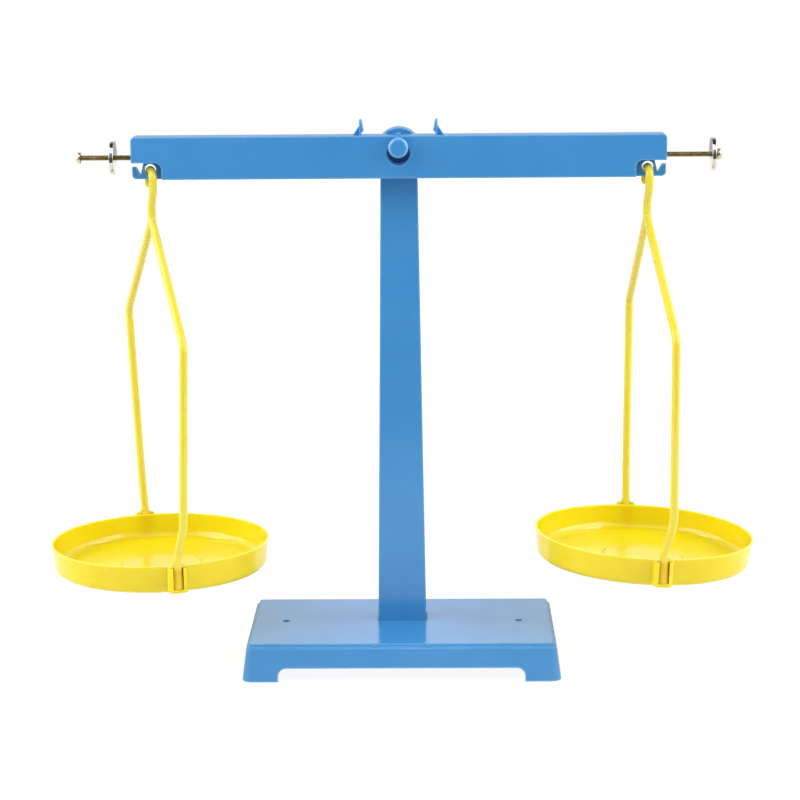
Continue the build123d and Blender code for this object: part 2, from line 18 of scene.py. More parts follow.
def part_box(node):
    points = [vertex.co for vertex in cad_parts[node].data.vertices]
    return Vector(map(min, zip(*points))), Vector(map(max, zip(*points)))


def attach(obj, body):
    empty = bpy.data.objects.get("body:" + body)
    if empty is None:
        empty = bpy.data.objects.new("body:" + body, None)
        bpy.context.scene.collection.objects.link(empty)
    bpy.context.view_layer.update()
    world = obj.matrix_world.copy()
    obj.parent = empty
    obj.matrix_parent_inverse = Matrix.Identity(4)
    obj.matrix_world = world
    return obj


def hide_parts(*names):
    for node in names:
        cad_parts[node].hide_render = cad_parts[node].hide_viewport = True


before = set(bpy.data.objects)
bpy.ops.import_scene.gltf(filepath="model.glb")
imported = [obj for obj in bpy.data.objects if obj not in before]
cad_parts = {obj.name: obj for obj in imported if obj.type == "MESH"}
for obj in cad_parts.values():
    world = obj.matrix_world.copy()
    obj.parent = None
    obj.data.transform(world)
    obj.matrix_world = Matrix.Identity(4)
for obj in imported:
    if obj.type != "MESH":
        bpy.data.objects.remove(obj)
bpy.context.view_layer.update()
print("nodes:", sorted(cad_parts))

# %% [markdown]
# ## Units and colours
# Every length here is in metres, as Blender has it, so a size in millimetres is written as a
# number times MM. Colours are read off real plastics as sRGB hex values, but a renderer adds up
# light, so one function turns each value into linear light.

# %% Units and colours
MM = 0.001


def linear(code):
    """sRGB hex to linear RGBA: a dark channel over 12.92, else ((c + 0.055) / 1.055) ** 2.4."""
    channels = [int(code[i : i + 2], 16) / 255 for i in (1, 3, 5)]
    return [c / 12.92 if c <= 0.04045 else ((c + 0.055) / 1.055) ** 2.4 for c in channels] + [1.0]


print("mid blue in linear light:", [round(c, 3) for c in linear("#438fc9")])

# %% [markdown]
# ## The camera
# The picture is taken from the front with a long lens, a little above the pans, so the beam stays
# straight and the base shows its top. A long lens far away could be put anywhere along its line,
# but the pans' ellipses and the base's slanting sides fix the distance, which is 1.8 m here.

# %% Camera
CAMERA_PLACE = (24.2 * MM, -1714.6 * MM, 530.7 * MM)
CAMERA_TURN = 0.82  # degrees to the left
CAMERA_DOWN = 11.04
CAMERA_ROLL = -0.45
SENSOR = 36.0
FOCAL_PIXELS, PICTURE_PIXELS = 2408, 800
LENS = FOCAL_PIXELS / PICTURE_PIXELS * SENSOR

camera_data = bpy.data.cameras.new("camera")
camera_data.sensor_width = SENSOR
camera_data.lens = LENS
camera = bpy.data.objects.new("camera", camera_data)
turn = Matrix.Rotation(radians(CAMERA_TURN), 4, "Z")
tip = Matrix.Rotation(radians(90 - CAMERA_DOWN), 4, "X")
roll = Matrix.Rotation(radians(CAMERA_ROLL), 4, "Z")
camera.matrix_world = Matrix.Translation(CAMERA_PLACE) @ turn @ tip @ roll
bpy.context.scene.collection.objects.link(camera)
bpy.context.scene.camera = camera
print("lens", round(LENS, 1), "mm, seen from", [round(v, 3) for v in CAMERA_PLACE])

# %% [markdown]
# ## A helper for nodes
# A material is a small graph. Adding a node by hand takes a line for each setting and link, so one
# function does all of it: what the node is, the node's own settings, and what goes into its
# sockets, either a plain value or another node's output. A Mix node has a set of sockets for each
# type of data, so its sockets are named by number: 2 and 3 are its two numbers, 6 and 7 are its
# two colours, and output 2 is the mixed colour.


# %% Node helper
def add(tree, kind, inputs=None, **settings):
    """Adds one node of a kind. inputs maps a socket's name or number to a value or to an output."""
    node = tree.nodes.new(kind)
    for name, value in settings.items():
        setattr(node, name, value)
    for socket, value in (inputs or {}).items():
        if isinstance(value, bpy.types.NodeSocket):
            tree.links.new(value, node.inputs[socket])
        else:
            node.inputs[socket].default_value = value
    return node


def new_material(name):
    """An empty node material, and its tree."""
    material = bpy.data.materials.new(name)
    material.use_nodes = True
    material.node_tree.nodes.clear()
    return material, material.node_tree


# %% [markdown]
# ## The white table and the studio round it
# The object stands on a pale table that runs into a white background. The table lights the object
# from below as any pale table does. Only to the camera and in reflections does it glow as well:
# a little close to the object, so that it still takes a faint shadow under the feet, and fully
# white further out, so that no edge or horizon shows. It ends not far in front of the object, where
# a studio table has its edge, so that upright front faces mirror the dim room and not the table.

# %% Table top
TABLE_LEFT, TABLE_RIGHT, TABLE_FRONT, TABLE_BACK = -4.0, 4.0, -0.65, 4.0

corner = np.array(
    [
        [TABLE_LEFT, TABLE_FRONT, 0],
        [TABLE_RIGHT, TABLE_FRONT, 0],
        [TABLE_RIGHT, TABLE_BACK, 0],
        [TABLE_LEFT, TABLE_BACK, 0],
    ]
)
table_mesh = bpy.data.meshes.new("table")
table_mesh.from_pydata(corner.tolist(), [], [[0, 1, 2, 3]])
table = bpy.data.objects.new("table", table_mesh)
bpy.context.scene.collection.objects.link(table)
print("table from", TABLE_FRONT, "m in front to", TABLE_BACK, "m behind")

# %% Table paint
TABLE_WHITE = "#e6e6e6"
TABLE_UNDER_GLOW = "#6e6e6e"  # the paint that the camera sees under the glow, for a shadow to darken
NEAR_GLOW, FAR_GLOW = 0.92, 1.02
GLOW_REACH = (0.3, 0.8)  # the glow grows between these distances from the middle


def seen_directly(tree):
    """1 for a ray from the camera, or one that was mirrored or let through, and 0 for spread light."""
    path = add(tree, "ShaderNodeLightPath")
    mirrored = add(
        tree,
        "ShaderNodeMath",
        {0: path.outputs["Is Camera Ray"], 1: path.outputs["Is Glossy Ray"]},
        operation="ADD",
    )
    return add(
        tree,
        "ShaderNodeMath",
        {0: mirrored.outputs[0], 1: path.outputs["Is Transmission Ray"]},
        operation="ADD",
        use_clamp=True,
    ).outputs[0]


paper, tree = new_material("matt white table top")
seen = seen_directly(tree)
spread = add(
    tree,
    "ShaderNodeMix",
    {"Factor": seen, 6: linear(TABLE_WHITE), 7: linear(TABLE_UNDER_GLOW)},
    data_type="RGBA",
)
matt = add(tree, "ShaderNodeBsdfDiffuse", {"Color": spread.outputs[2]})
place = add(tree, "ShaderNodeTexCoord").outputs["Object"]
distance = add(tree, "ShaderNodeVectorMath", {0: place}, operation="LENGTH").outputs["Value"]
glow_there = add(
    tree,
    "ShaderNodeMapRange",
    {
        "Value": distance,
        "From Min": GLOW_REACH[0],
        "From Max": GLOW_REACH[1],
        "To Min": NEAR_GLOW,
        "To Max": FAR_GLOW,
    },
    interpolation_type="SMOOTHSTEP",
)
strength = add(tree, "ShaderNodeMath", {0: seen, 1: glow_there.outputs[0]}, operation="MULTIPLY")
glow = add(tree, "ShaderNodeEmission", {"Strength": strength.outputs[0]})
both = add(tree, "ShaderNodeAddShader", {0: matt.outputs[0], 1: glow.outputs[0]})
add(tree, "ShaderNodeOutputMaterial", {"Surface": both.outputs[0]})
table_mesh.materials.append(paper)
print(paper.name, len(tree.nodes), "nodes")

# %% [markdown]
# The room round the table is what gloss and metal mirror. A real studio is white behind and at the
# sides, dark overhead between the lamps and dark where the photographer stands. Plastic hardly
# shows that, but bright metal is nothing else. So the world is a plain even grey-white for spread
# light, plain white to the camera, and a room of light and dark parts in a reflection. A picture of
# a studio could be wrapped round the world instead, but a few smooth steps need no picture and
# tell which part of the room each reflection comes from. Each part goes from one brightness to
# another as a ray's direction turns, and all the parts are multiplied together. A direction's Z is
# the sine of its height above the horizon, so the white walls are dim low down, bright from about
# 15 degrees up, where the lamps wash them, and dimmer again from about 35 degrees up. Its Y runs
# from -1 on the camera's side to 1 behind the object.

# %% Room
ROOM_FILL = 0.53
ROOM_PARTS = {  # the axis, where the change starts and ends, and the brightness before and after
    "ceiling": ("Z", 0.78, 0.84, 1.0, 0.1),
    "camera side": ("Y", -0.88, -0.72, 0.22, 1.0),
    "washed wall": ("Z", 0.15, 0.32, 0.5, 1.45),
    "upper wall": ("Z", 0.36, 0.6, 1.0, 0.45),
}
WHITE = (1.0, 1.0, 1.0, 1.0)

world = bpy.data.worlds.new("studio")
bpy.context.scene.world = world
world.use_nodes = True
tree = world.node_tree
tree.nodes.clear()
direction = add(tree, "ShaderNodeTexCoord").outputs["Generated"]
axes = add(tree, "ShaderNodeSeparateXYZ", {0: direction})
mirrored_room = 1.0
for axis, start, end, before, after in ROOM_PARTS.values():
    part = add(
        tree,
        "ShaderNodeMapRange",
        {
            "Value": axes.outputs[axis],
            "From Min": start,
            "From Max": end,
            "To Min": before,
            "To Max": after,
        },
        interpolation_type="SMOOTHSTEP",
    )
    mirrored_room = add(
        tree,
        "ShaderNodeMath",
        {0: mirrored_room, 1: part.outputs[0]},
        operation="MULTIPLY",
    ).outputs[0]
path = add(tree, "ShaderNodeLightPath")
reflected = add(
    tree,
    "ShaderNodeMix",
    {"Factor": path.outputs["Is Glossy Ray"], 2: ROOM_FILL, 3: mirrored_room},
    data_type="FLOAT",
)
direct = add(
    tree,
    "ShaderNodeMath",
    {0: path.outputs["Is Camera Ray"], 1: path.outputs["Is Transmission Ray"]},
    operation="ADD",
    use_clamp=True,
)
room_light = add(
    tree,
    "ShaderNodeMix",
    {"Factor": direct.outputs[0], 2: reflected.outputs[0], 3: 1.0},
    data_type="FLOAT",
)
background = add(tree, "ShaderNodeBackground", {"Color": WHITE, "Strength": room_light.outputs[0]})
add(tree, "ShaderNodeOutputWorld", {"Surface": background.outputs[0]})
print("room fill", ROOM_FILL, "and in a reflection:", list(ROOM_PARTS))

# %% [markdown]
# Five soft boxes give the light its direction. One is above and in front, which leaves the soft
# shadow that the beam throws on the post. Two large ones stand low at the left and right and
# brighten the outer sides of the pans and rods. Two small ones hang high at the sides: mirrored in
# the hollow curve where a pan's wall meets its floor, they draw the bright arcs that each pan shows.

# %% Lamps
LAMPS = {  # the place, width and height in metres, and watts
    "front_box": ((-0.2, -0.95, 1.75), (2.0, 1.2), 9.6),
    "left_box": ((-1.6, -0.35, 0.95), (1.9, 1.3), 22.0),
    "right_box": ((1.6, -0.35, 0.95), (1.9, 1.3), 22.0),
    "left_spot": ((-1.1, 0.05, 1.4), (0.35, 0.35), 3.5),
    "right_spot": ((1.1, 0.05, 1.4), (0.35, 0.35), 3.5),
}
AIM = Vector((0, 0, 0.2))

for name, (place, size, watts) in LAMPS.items():
    lamp = bpy.data.lights.new(name, "AREA")
    lamp.shape = "RECTANGLE"
    lamp.size, lamp.size_y = size
    lamp.energy = watts
    lamp_object = bpy.data.objects.new(name, lamp)
    lamp_object.location = place
    toward = AIM - lamp_object.location
    lamp_object.rotation_euler = toward.to_track_quat("-Z", "Y").to_euler()
    bpy.context.scene.collection.objects.link(lamp_object)
bpy.context.scene.view_settings.view_transform = "Standard"
print("lamps:", list(LAMPS))

# %% [markdown]
# ## What every finish here shares
# No real surface is quite even. Where plastic flowed and cooled, its colour drifts a little over a
# few centimetres and its gloss over a smaller distance, and its faces have waves too low to see
# except in what they mirror. A plating's colour drifts in the same way. A painted picture could
# hold such patches, but every piece would have to be unfolded for it, and close up it would blur,
# so soft noise draws them. Its patches are about as large as one over its scale, so each scale is
# worked out from a size in millimetres, and the range that noise mostly keeps to is stretched to
# the wanted one.

# %% Drifting values
NOISE_RANGE = (0.3, 0.7)


def drifting(tree, coordinate, size, low, high, detail=2.0, noise_range=NOISE_RANGE):
    """Noise in patches of one size, stretched so that it drifts from the low to the high value."""
    noise = add(
        tree,
        "ShaderNodeTexNoise",
        {"Vector": coordinate, "Scale": 1 / size, "Detail": detail},
    )
    return add(
        tree,
        "ShaderNodeMapRange",
        {
            "Value": noise.outputs["Fac"],
            "From Min": noise_range[0],
            "From Max": noise_range[1],
            "To Min": low,
            "To Max": high,
        },
    ).outputs["Result"]


def drifting_colour(tree, coordinate, size, tints, detail=2.0, noise_range=NOISE_RANGE):
    """A colour that drifts between two tints, in patches of one size."""
    return add(
        tree,
        "ShaderNodeMix",
        {
            "Factor": drifting(tree, coordinate, size, 0.0, 1.0, detail, noise_range),
            6: linear(tints[0]),
            7: linear(tints[1]),
        },
        data_type="RGBA",
    ).outputs[2]


def toward_tint(tree, colour, where, share, tint):
    """The colour, carried a share of the way to a tint where a mask is 1, and less where it fades."""
    amount = add(tree, "ShaderNodeMath", {0: where, 1: share}, operation="MULTIPLY")
    return add(
        tree,
        "ShaderNodeMix",
        {"Factor": amount.outputs[0], 6: colour, 7: linear(tint)},
        data_type="RGBA",
    ).outputs[2]


def mould_waves(tree, coordinate, size, height, strength):
    """The normal of a face with soft waves: noise in patches of one size, raised by a height."""
    noise = add(
        tree,
        "ShaderNodeTexNoise",
        {"Vector": coordinate, "Scale": 1 / size, "Detail": 2.0},
    )
    return add(
        tree,
        "ShaderNodeBump",
        {"Height": noise.outputs["Fac"], "Strength": strength, "Distance": height},
    ).outputs[0]


# %% [markdown]
# ## Blue: high-impact polystyrene
# The stand and beam are high-impact polystyrene from a polished steel mould. The eye gets an even
# mid blue, a clear mirror image where it looks along a face, as on the base, and hardly any shine
# where it looks straight at one. That is what a smooth surface of refractive index 1.59 does by
# itself. Up close it is not perfect: besides the drift, handling leaves faint dull patches and
# fine hairlines. Every outer edge and the bevel round the pin's knob's face get a painted
# highlight, a paler blue, and are a little duller as well. Such an edge could be found by how
# sharply the mesh bends, but the faces of a imported solid differ too much in size for that. So
# rays are sent into the plastic: near an edge they soon come out of a neighbouring face, and that
# works for a sharp edge and a rounded one.

# %% Wear on the blue
EDGE_WIDTH = 1.2 * MM
EDGE_RAYS = 8
OPEN_RAYS = (0.68, 0.97)  # the share of rays that stay inside, at an edge and on a flat face
HAIR_TURN = (0.3, 0.2, 0.5)  # about all three axes, so that streaks cross every face at a slant
HAIR_NOISE = (0.62, 0.72)  # only the highest part of the noise makes a streak
PIN_HEIGHT = 380.4 * MM
KNOB_FACE = -20.2 * MM
BEVEL_RADIUS = (5.9 * MM, 6.3 * MM)  # the painted bevel highlight starts between these distances from the axis
BEVEL_DEPTH = (1.4 * MM, 1.82 * MM)  # and ends between these distances behind the knob's face


def hairlines(tree, coordinate, width, stretch):
    """Thin streaks: noise squeezed across by the width and drawn out along by the stretch."""
    squeezed = add(
        tree,
        "ShaderNodeMapping",
        {
            "Vector": coordinate,
            "Scale": (1 / (width * stretch), 1 / width, 1 / width),
            "Rotation": HAIR_TURN,
        },
    )
    return drifting(tree, squeezed.outputs[0], 1.0, 0.0, 1.0, 1.0, HAIR_NOISE)


def outer_edges(tree, width):
    """1 along outward edges, where rays sent into the plastic soon meet a neighbouring face."""
    inward = add(
        tree, "ShaderNodeAmbientOcclusion", {"Distance": width}, samples=EDGE_RAYS, inside=True
    )
    return add(
        tree,
        "ShaderNodeMapRange",
        {
            "Value": inward.outputs["AO"],
            "From Min": OPEN_RAYS[0],
            "From Max": OPEN_RAYS[1],
            "To Min": 1.0,
            "To Max": 0.0,
        },
    ).outputs[0]


def knob_bevel_highlight(tree, coordinate):
    """1 on the bevel round the knob's face, its painted highlight: far from the pin's axis and close
    behind the face.
    """
    from_axis = add(
        tree,
        "ShaderNodeVectorMath",
        {0: coordinate, 1: (0, 0, PIN_HEIGHT)},
        operation="SUBTRACT",
    )
    flat = add(
        tree,
        "ShaderNodeVectorMath",
        {0: from_axis.outputs[0], 1: (1, 0, 1)},
        operation="MULTIPLY",
    )
    radius = add(tree, "ShaderNodeVectorMath", {0: flat.outputs[0]}, operation="LENGTH")
    outer = add(
        tree,
        "ShaderNodeMapRange",
        {
            "Value": radius.outputs["Value"],
            "From Min": BEVEL_RADIUS[0],
            "From Max": BEVEL_RADIUS[1],
            "To Min": 0.0,
            "To Max": 1.0,
        },
    )
    part = add(tree, "ShaderNodeSeparateXYZ", {0: coordinate})
    near_face = add(
        tree,
        "ShaderNodeMapRange",
        {
            "Value": part.outputs["Y"],
            "From Min": KNOB_FACE + BEVEL_DEPTH[0],
            "From Max": KNOB_FACE + BEVEL_DEPTH[1],
            "To Min": 1.0,
            "To Max": 0.0,
        },
    )
    return add(
        tree,
        "ShaderNodeMath",
        {0: outer.outputs[0], 1: near_face.outputs[0]},
        operation="MULTIPLY",
    ).outputs[0]


# %% Blue plastic
BLUE_TINTS = ("#3c89c8", "#428ecc")
BLUE_ROUGH = (0.15, 0.21)
# painted highlight: the paler blue for the edges and the knob's bevel, and how far towards it
EDGE_HIGHLIGHT_BLUE, EDGE_HIGHLIGHT_SHARE = "#86c8f2", 0.5
WORN_ROUGH = 0.3  # added to the roughness where the edge highlight is painted
HAIR_WIDTH, HAIR_STRETCH, HAIR_ROUGH = 0.6 * MM, 30, 0.04


def blue_plastic(name, knob=False):
    """Even blue that drifts a little, with a painted highlight along its edges and round a knob's
    face.
    """
    material, tree = new_material(name)
    coordinate = add(tree, "ShaderNodeTexCoord").outputs["Object"]
    colour = drifting_colour(tree, coordinate, 45 * MM, BLUE_TINTS)
    edge_highlight_and_wear = outer_edges(tree, EDGE_WIDTH)
    # painted highlight: the outer edges are carried towards a paler blue
    colour = toward_tint(tree, colour, edge_highlight_and_wear, EDGE_HIGHLIGHT_SHARE, EDGE_HIGHLIGHT_BLUE)
    if knob:
        # painted highlight on the knob's bevel, which is dulled along with the edges
        bevel_highlight_and_rubbing = knob_bevel_highlight(tree, coordinate)
        colour = toward_tint(tree, colour, bevel_highlight_and_rubbing, EDGE_HIGHLIGHT_SHARE, EDGE_HIGHLIGHT_BLUE)
        edge_highlight_and_wear = add(tree, "ShaderNodeMath", {0: edge_highlight_and_wear, 1: bevel_highlight_and_rubbing}, operation="MAXIMUM").outputs[0]
    handled = drifting(tree, coordinate, 18 * MM, *BLUE_ROUGH, detail=4.0)
    dull = add(
        tree,
        "ShaderNodeMath",
        {0: edge_highlight_and_wear, 1: WORN_ROUGH, 2: handled},
        operation="MULTIPLY_ADD",
    )
    scratches = hairlines(tree, coordinate, HAIR_WIDTH, HAIR_STRETCH)
    rough = add(
        tree,
        "ShaderNodeMath",
        {0: scratches, 1: HAIR_ROUGH, 2: dull.outputs[0]},
        operation="MULTIPLY_ADD",
    )
    shader = add(
        tree,
        "ShaderNodeBsdfPrincipled",
        {
            "Base Color": colour,
            "Roughness": rough.outputs[0],
            "IOR": 1.59,
            "Normal": mould_waves(tree, coordinate, 9 * MM, 0.05 * MM, 0.06),
        },
    )
    add(tree, "ShaderNodeOutputMaterial", {"Surface": shader.outputs[0]})
    print(name, len(tree.nodes), "nodes")
    return material


stand_plastic = blue_plastic("high-impact polystyrene, polished mould, blue")
knob_plastic = blue_plastic("high-impact polystyrene, painted bevel highlight, blue", knob=True)

# %% [markdown]
# ## Yellow: polypropylene
# The hangers and pans have to bend without breaking, so they are polypropylene, which is softer,
# a little waxy, and lets some light into it. A thin wall glows because light crosses it, and a
# thick one, such as where a clip socket backs the pan's wall, looks deeper and more orange, as do
# the shaded recesses of the sockets. Light that enters and leaves again is Subsurface. Following
# it through a socket's whole depth would leave the picture grainy, so the deeper colour is drawn
# instead, as painted shade: along the known line through a pan's middle that its two sockets lie
# on, and on a hanger's feet, which are the part of it below the pan's rim. The floor of a pan is a
# little duller than its polished walls, so it shows a soft sheen where the curve round it draws
# bright arcs.

# %% Where the yellow gets painted shade or is dull
HANG_X = 177 * MM
RIM_HEIGHT = {"left": 93.0 * MM, "right": 97.6 * MM}
PAN_LINES = {"left": (-HANG_X, 14.4), "right": (HANG_X, 4.7)}  # middle, and the sockets' turn
WALL_BACK = (71.0 * MM, 84.0 * MM)  # the painted shade deepens from the wall outwards, between these
LIP_FRONT = (84.0 * MM, 86.0 * MM)  # and how far the channel reaches before the socket's lips
CHANNEL = (2.4 * MM, 5.4 * MM)  # half the channel's width, and where the painted shade has faded
FLOOR_EDGE = (67.0 * MM, 69.0 * MM)  # where a pan's flat floor turns into the curve of its wall
FOOT_FADE = 2 * MM


def socket_shade(tree, coordinate, middle, turn):
    """1 behind and inside a pan's two sockets, for painted shade: close to their line, from the wall
    to the lips.
    """
    centred = add(
        tree,
        "ShaderNodeMapping",
        {"Vector": coordinate, "Location": (middle, 0, 0), "Rotation": (0, 0, radians(turn))},
        vector_type="TEXTURE",
    )
    part = add(tree, "ShaderNodeSeparateXYZ", {0: centred.outputs[0]})
    sideways = add(tree, "ShaderNodeMath", {0: part.outputs["X"]}, operation="ABSOLUTE")
    outwards = add(tree, "ShaderNodeMath", {0: part.outputs["Y"]}, operation="ABSOLUTE")
    shade_mask = 1.0
    for away, (start, end), before in (
        (outwards, WALL_BACK, 0.0),
        (outwards, LIP_FRONT, 1.0),
        (sideways, CHANNEL, 1.0),
    ):
        limit = add(
            tree,
            "ShaderNodeMapRange",
            {
                "Value": away.outputs[0],
                "From Min": start,
                "From Max": end,
                "To Min": before,
                "To Max": 1 - before,
            },
        )
        shade_mask = add(
            tree,
            "ShaderNodeMath",
            {0: shade_mask, 1: limit.outputs[0]},
            operation="MULTIPLY",
        ).outputs[0]
    return shade_mask


def foot_shade(tree, coordinate, rim):
    """1 on a hanger's feet, for painted shade: everything lower than the pan's rim, fading just under
    it.
    """
    part = add(tree, "ShaderNodeSeparateXYZ", {0: coordinate})
    return add(
        tree,
        "ShaderNodeMapRange",
        {
            "Value": part.outputs["Z"],
            "From Min": rim - FOOT_FADE,
            "From Max": rim,
            "To Min": 1.0,
            "To Max": 0.0,
        },
    ).outputs[0]


def on_floor(tree, coordinate, middle):
    """1 on a pan's flat floor and 0 on its curve and wall, by the distance from the pan's middle."""
    level = add(tree, "ShaderNodeVectorMath", {0: coordinate, 1: (1, 1, 0)}, operation="MULTIPLY")
    apart = add(
        tree,
        "ShaderNodeVectorMath",
        {0: level.outputs[0], 1: (middle, 0, 0)},
        operation="DISTANCE",
    )
    return add(
        tree,
        "ShaderNodeMapRange",
        {
            "Value": apart.outputs["Value"],
            "From Min": FLOOR_EDGE[0],
            "From Max": FLOOR_EDGE[1],
            "To Min": 1.0,
            "To Max": 0.0,
        },
    ).outputs[0]


# %% Yellow plastic
# painted shade: the deeper orange in the sockets and on the hangers' feet, and how far towards it
SHADE_YELLOW, SHADE_SHARE = "#e6b80f", 0.7
YELLOW_ROUGH = (0.1, 0.15)
FLOOR_ROUGH = 0.1  # added to the roughness of a pan's floor
GLOW_COLOURS = (1.0, 0.8, 0.15)  # red and green light spread further through it than blue


def yellow_plastic(name, tints, glow, shade_mask, *where, middle=None):
    """Waxy yellow between two tints, deepened by painted shade where a mask is 1; a pan also has its
    middle.
    """
    material, tree = new_material(name)
    coordinate = add(tree, "ShaderNodeTexCoord").outputs["Object"]
    colour = drifting_colour(tree, coordinate, 40 * MM, tints)
    painted_shade = shade_mask(tree, coordinate, *where)
    # painted shade, standing in for the light held back in the sockets and feet
    colour = toward_tint(tree, colour, painted_shade, SHADE_SHARE, SHADE_YELLOW)
    rough = drifting(tree, coordinate, 14 * MM, *YELLOW_ROUGH, detail=4.0)
    if middle is not None:
        rough = add(
            tree,
            "ShaderNodeMath",
            {0: on_floor(tree, coordinate, middle), 1: FLOOR_ROUGH, 2: rough},
            operation="MULTIPLY_ADD",
        ).outputs[0]
    shader = add(
        tree,
        "ShaderNodeBsdfPrincipled",
        {
            "Base Color": colour,
            "Roughness": rough,
            "IOR": 1.49,
            "Subsurface Weight": glow[0],
            "Subsurface Radius": GLOW_COLOURS,
            "Subsurface Scale": glow[1],
            "Normal": mould_waves(tree, coordinate, 12 * MM, 0.06 * MM, 0.05),
        },
    )
    add(tree, "ShaderNodeOutputMaterial", {"Surface": shader.outputs[0]})
    print(name, len(tree.nodes), "nodes")
    return material


# %% The pans' and the hangers' yellow
DISH_TINTS = ("#decd13", "#e2d21d")
DISH_GLOW = (1.0, 4 * MM)  # the share of light that enters, and how far it spreads
ROD_TINTS = ("#e5d240", "#e8d74b")  # the rods are a little paler
ROD_GLOW = (0.1, 1 * MM)  # light that spreads far inside a thin rod only makes the picture grainy

pan_plastics = {
    side: yellow_plastic(
        f"polypropylene dish, moulded, yellow, {side}",
        DISH_TINTS,
        DISH_GLOW,
        socket_shade,
        *line,
        middle=line[0],
    )
    for side, line in PAN_LINES.items()
}
rod_plastics = {
    side: yellow_plastic(
        f"polypropylene rod, moulded, yellow, {side}", ROD_TINTS, ROD_GLOW, foot_shade, rim
    )
    for side, rim in RIM_HEIGHT.items()
}

# %% [markdown]
# ## Three metals
# The screws are steel with a yellow zinc plating, whose thin film shifts between olive, straw and
# a little brown; the smooth head is given a paler colour than the thread, a painted highlight. The
# discs are turned and nickel plated, so bright that they mostly show the room. The inserts inside
# the beam are plain turned brass. A metal's colour is its reflection's colour, so each of these is
# fully metallic, and only the roughness tells a plated screw from a polished disc. A lathe leaves
# rings round the disc. They could be cut in its mesh, but they are far lower than they are wide, so
# a bump does as well, and they are drawn 0.25 mm apart, which is coarser than the real ones,
# because finer rings would not show at all.

# %% Metal finishes
FILM_NOISE = (0.35, 0.65)
RING_SPACING, RING_HEIGHT = 0.25 * MM, 0.01 * MM
HEAD_FADE = 0.3 * MM


def metal(name, tints, patch, roughness):
    """A metal whose colour drifts between two tints, and its tree, coordinate and shader."""
    material, tree = new_material(name)
    coordinate = add(tree, "ShaderNodeTexCoord").outputs["Object"]
    shader = add(
        tree,
        "ShaderNodeBsdfPrincipled",
        {
            "Base Color": drifting_colour(tree, coordinate, patch, tints, 3.0, FILM_NOISE),
            "Metallic": 1.0,
            "Roughness": drifting(tree, coordinate, patch / 3, *roughness),
        },
    )
    add(tree, "ShaderNodeOutputMaterial", {"Surface": shader.outputs[0]})
    print(name, len(tree.nodes), "nodes")
    return material, tree, coordinate, shader


def turned_rings(tree, coordinate, shader, height):
    """Rings round the screw's axis, which runs along x at a height: a sine of the radius."""
    centred = add(
        tree,
        "ShaderNodeMapping",
        {"Vector": coordinate, "Location": (0, 0, -height), "Scale": (0, 1, 1)},
    )
    radius = add(tree, "ShaderNodeVectorMath", {0: centred.outputs[0]}, operation="LENGTH")
    turns = add(
        tree,
        "ShaderNodeMath",
        {0: radius.outputs["Value"], 1: 2 * pi / RING_SPACING},
        operation="MULTIPLY",
    )
    wave = add(tree, "ShaderNodeMath", {0: turns.outputs[0]}, operation="SINE")
    bump = add(
        tree,
        "ShaderNodeBump",
        {"Height": wave.outputs[0], "Strength": 0.08, "Distance": RING_HEIGHT},
    )
    tree.links.new(bump.outputs[0], shader.inputs["Normal"])


def painted_head_highlight(tree, coordinate, shader, start, code):
    """Past a distance along x to either side the screw is its smooth head, painted paler as a
    highlight.
    """
    part = add(tree, "ShaderNodeSeparateXYZ", {0: coordinate})
    along = add(tree, "ShaderNodeMath", {0: part.outputs["X"]}, operation="ABSOLUTE")
    on_head = add(
        tree,
        "ShaderNodeMapRange",
        {
            "Value": along.outputs[0],
            "From Min": start,
            "From Max": start + HEAD_FADE,
            "To Min": 0.0,
            "To Max": 1.0,
        },
    )
    thread = shader.inputs["Base Color"].links[0].from_socket
    whole = add(
        tree,
        "ShaderNodeMix",
        {"Factor": on_head.outputs[0], 6: thread, 7: linear(code)},
        data_type="RGBA",
    )
    tree.links.new(whole.outputs[2], shader.inputs["Base Color"])


# %% Where the screws lie
HEAD_LENGTH = 3.1 * MM
screw_low, screw_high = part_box("right_balance_screw")
SCREW_HEIGHT = (screw_low[2] + screw_high[2]) / 2
tip_x, head_x = screw_low[0], screw_high[0] - HEAD_LENGTH
print("thread from", round(tip_x / MM, 1), "to", round(head_x / MM, 1), "mm along x")

# %% Screws, discs and inserts
yellow_zinc, *zinc_nodes = metal(
    "yellow zinc plated steel", ("#94885b", "#b0a377"), 3 * MM, (0.26, 0.42)
)
# painted highlight: the head gets a paler colour than the thread
painted_head_highlight(*zinc_nodes, head_x, "#d6d1b8")
bright_nickel, *nickel_nodes = metal(
    "bright nickel plate, turned", ("#d0ccc5", "#dad7d1"), 6 * MM, (0.05, 0.12)
)
turned_rings(*nickel_nodes, SCREW_HEIGHT)
turned_brass = metal("turned brass", ("#c9a35a", "#d4b06a"), 2 * MM, (0.2, 0.32))[0]

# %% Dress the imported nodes
DRESS = {
    "base": stand_plastic,
    "post": stand_plastic,
    "pivot_pin": knob_plastic,
    "beam": stand_plastic,
    "left_hanger": rod_plastics["left"],
    "right_hanger": rod_plastics["right"],
    "left_pan": pan_plastics["left"],
    "right_pan": pan_plastics["right"],
    "left_screw_insert": turned_brass,
    "right_screw_insert": turned_brass,
    "left_balance_screw": yellow_zinc,
    "right_balance_screw": yellow_zinc,
    "left_balance_nut": bright_nickel,
    "right_balance_nut": bright_nickel,
}
for node, material in DRESS.items():
    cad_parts[node].data.materials.clear()
    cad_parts[node].data.materials.append(material)
print("dressed", len(DRESS), "nodes")

# %% [markdown]
# ## From a grid of points to a piece
# Every new piece here is turned or threaded, so it is a grid: rows along its outline and columns
# round its axis. numpy works out all the points at once, and one helper makes the mesh. Where a
# row has no radius its points fall together, so doubles are merged, which closes the two poles.
# Edges sharper than 35 degrees stay crisp, and the rest are shaded smooth.

# %% Grid helper
SHARP_ANGLE = 35
SAME_POINT = 0.001 * MM


